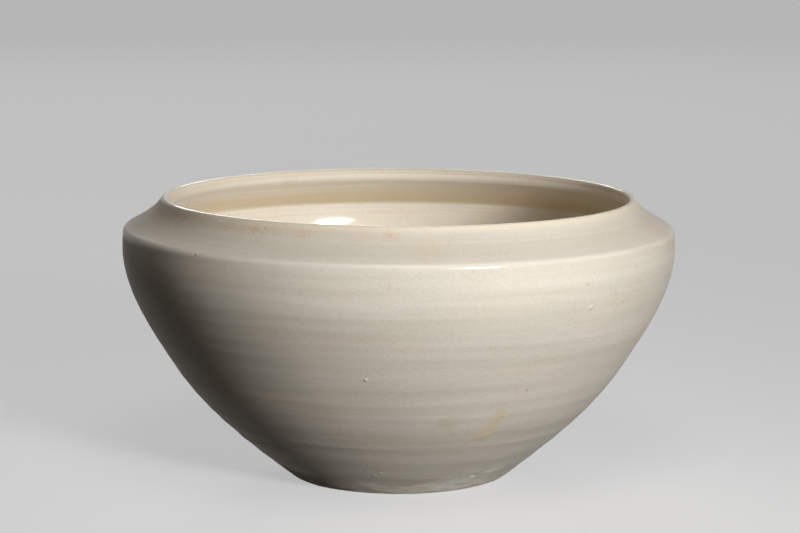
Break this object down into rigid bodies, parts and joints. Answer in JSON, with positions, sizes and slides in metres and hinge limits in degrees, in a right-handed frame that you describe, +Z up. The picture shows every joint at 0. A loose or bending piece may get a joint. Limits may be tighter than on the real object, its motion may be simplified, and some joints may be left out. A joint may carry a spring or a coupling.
{
  "type": "porcelain bowl",
  "caption": "Wheel-thrown bowl with a flat base, a flaring wall, a sharp shoulder and a thin upright lip, under ivory glaze, for holding and serving food.",
  "frame": {"origin": "on the bowl's axis, in the plane of the standing ring under its base", "axes": "+Z up along the axis that the bowl was turned about, from the base to the mouth; +Y away from the viewer of the picture"},
  "size_m": [0.24, 0.24, 0.122],
  "materials": {
    "bare_porcelain": "matt",
    "outer_ivory_glaze": "satin gloss",
    "inner_ivory_glaze": "gloss"
  },
  "bodies": {
    "root": {"porcelain_body": "bare_porcelain", "outer_glaze": "outer_ivory_glaze", "inner_glaze": "inner_ivory_glaze"}
  },
  "joints": []
}
